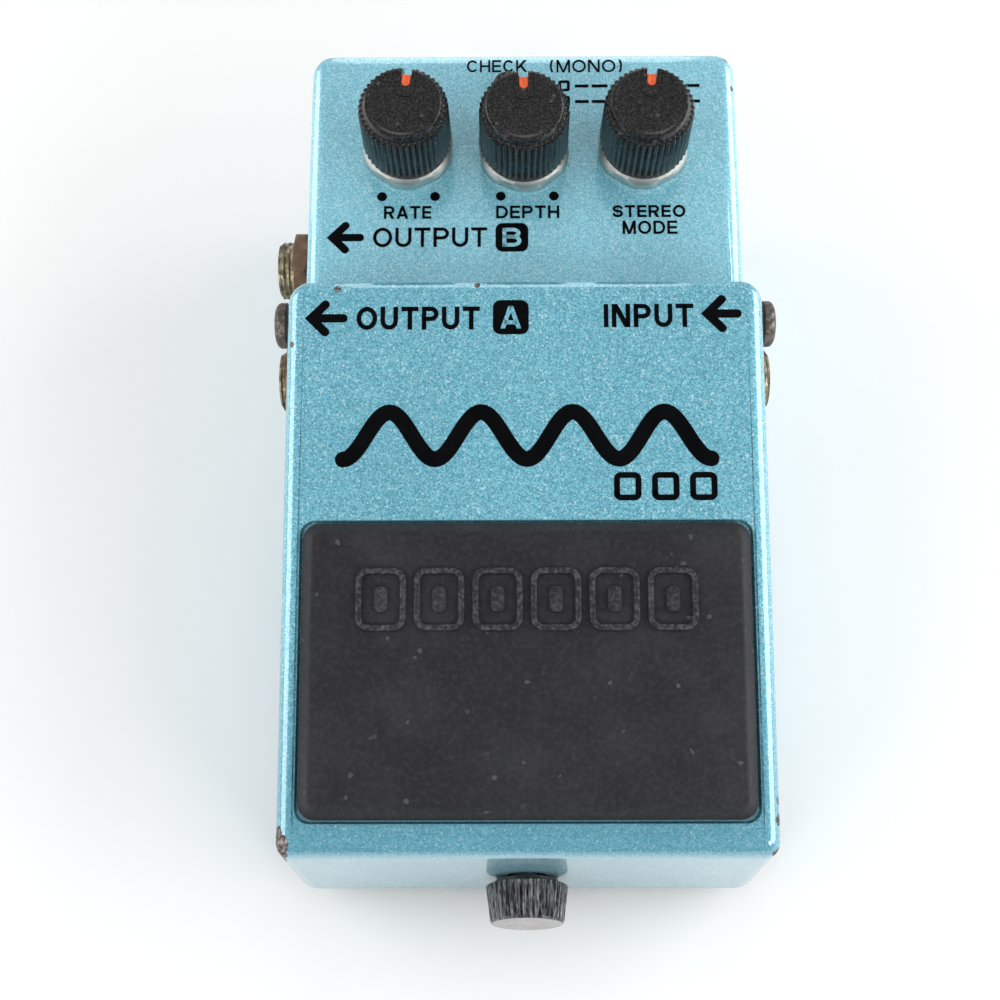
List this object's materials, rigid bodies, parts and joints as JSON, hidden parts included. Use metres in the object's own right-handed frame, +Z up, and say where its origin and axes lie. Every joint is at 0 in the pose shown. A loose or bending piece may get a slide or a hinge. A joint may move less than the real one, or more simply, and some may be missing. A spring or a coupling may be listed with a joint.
{
  "type": "guitar effects pedal",
  "caption": "Compact metal effects pedal with a sloping hinged treadle, rubber foot pad, three knobs and side jacks.",
  "frame": {"origin": "on the surface that the pedal stands on, on the centre plane of the case, midway between the rear wall and the front of the thumbscrew", "axes": "+X to the player's right (input jack side), +Y from the player to the rear wall, +Z up"},
  "size_m": [0.0781, 0.129, 0.0595],
  "materials": {
    "treadle_paint": "metallic flake lacquer, worn at the corners",
    "case_paint": "metallic flake lacquer, lightly worn",
    "pad_rubber": "moulded, scuffed and dusty",
    "black_plastic": "knurled, polished rim",
    "orange_paint": "satin",
    "zinc_plate": "zinc plated, dulled",
    "shaft_steel": "turned",
    "plate_steel": "zinc plated",
    "mat_rubber": "fine grain",
    "aged_brass": "tarnished, with brown rust",
    "aged_steel": "tarnished, with brown rust",
    "black_nylon": "moulded",
    "white_nylon": "moulded",
    "spring_steel": "drawn wire",
    "red_lens": "clear, tinted",
    "circuit": "resin board with components",
    "grey_foam": "open-cell foam",
    "battery_can": "printed can",
    "red_wire": "stranded lead's sleeve",
    "black_wire": "stranded lead's sleeve"
  },
  "bodies": {
    "case": {"case_shell": "case_paint", "bottom_plate": "plate_steel", "base_mat": "mat_rubber", "base_screw_1": "plate_steel", "base_screw_2": "plate_steel", "base_screw_3": "plate_steel", "base_screw_4": "plate_steel", "circuit_board": "circuit", "board_foam": "grey_foam", "footswitch_body": "shaft_steel", "battery": "battery_can", "battery_foam": "grey_foam", "battery_snap": "black_nylon", "battery_lead_red": "red_wire", "battery_lead_black": "black_wire", "output_a_jack": "aged_brass", "output_a_washer": "aged_steel", "output_a_nut": "aged_steel", "output_b_jack": "aged_brass", "output_b_washer": "aged_steel", "output_b_nut": "aged_steel", "input_jack": "aged_brass", "input_washer": "aged_steel", "input_nut": "aged_steel", "power_socket": "black_nylon", "rate_pot": "zinc_plate", "depth_pot": "zinc_plate", "mode_switch": "zinc_plate", "rate_nut": "zinc_plate", "depth_nut": "zinc_plate", "mode_nut": "zinc_plate", "check_lamp": "red_lens", "lamp_holder": "black_nylon", "hinge_pin_left": "aged_steel", "hinge_pin_right": "aged_steel", "guide_bush": "shaft_steel", "coil_spring": "spring_steel"},
    "hinge_bushes": {"hinge_bush_left": "black_nylon", "hinge_bush_right": "black_nylon"},
    "treadle": {"treadle_plate": "treadle_paint", "rubber_pad": "pad_rubber", "spring_base": "black_nylon", "switch_pusher": "mat_rubber"},
    "screw_washer": {"thumbscrew_washer": "black_nylon"},
    "thumbscrew": {"thumbscrew_knob": "black_plastic", "thumbscrew_shank": "shaft_steel"},
    "switch_plunger": {"footswitch_plunger": "white_nylon"},
    "rate_control": {"rate_knob": "black_plastic", "rate_index": "orange_paint", "rate_shaft": "shaft_steel"},
    "depth_control": {"depth_knob": "black_plastic", "depth_index": "orange_paint", "depth_shaft": "shaft_steel"},
    "mode_control": {"mode_knob": "black_plastic", "mode_index": "orange_paint", "mode_shaft": "shaft_steel"}
  },
  "joints": [
    {"name": "treadle_open", "type": "hinge", "parent": "case", "child": "hinge_bushes", "pos_m": [0, 0.0183, 0.04], "axis": [-1, 0, 0], "range_deg": [0, 55]},
    {"name": "treadle_press", "type": "hinge", "parent": "hinge_bushes", "child": "treadle", "pos_m": [0, 0.0183, 0.04], "axis": [1, 0, 0], "range_deg": [0, 1.8], "stiffness_Nm_per_rad": 8, "springref_deg": -4.01, "deforming": ["coil_spring"]},
    {"name": "thumbscrew_travel", "type": "slide", "parent": "hinge_bushes", "child": "screw_washer", "axis": [0, -1, 0], "range_m": [0, 0.0028]},
    {"name": "thumbscrew_turn", "type": "hinge", "parent": "screw_washer", "child": "thumbscrew", "pos_m": [0, -0.0619, 0.0109], "axis": [0, -1, 0], "range_deg": [0, 1440.01]},
    {"name": "plunger_travel", "type": "slide", "parent": "case", "child": "switch_plunger", "axis": [0, 0, -1], "range_m": [0, 0.00045]},
    {"name": "rate_turn", "type": "hinge", "parent": "case", "child": "rate_control", "pos_m": [-0.01795, 0.0479, 0.04458], "axis": [0, -0.1959, 0.9806], "range_deg": [-143, 157]},
    {"name": "depth_turn", "type": "hinge", "parent": "case", "child": "depth_control", "pos_m": [0, 0.0474, 0.04448], "axis": [0, -0.1959, 0.9806], "range_deg": [-151.5, 148.5]},
    {"name": "mode_turn", "type": "hinge", "parent": "case", "child": "mode_control", "pos_m": [0.0185, 0.0478, 0.04456], "axis": [0, -0.1959, 0.9806], "range_deg": [-25.5, 34.5]}
  ],
  "couplings": [
    {"joint": "thumbscrew_turn", "follows": "thumbscrew_travel", "rad_per_m": 8976},
    {"joint": "plunger_travel", "follows": "treadle_press", "m_per_rad": 0.0133}
  ]
}
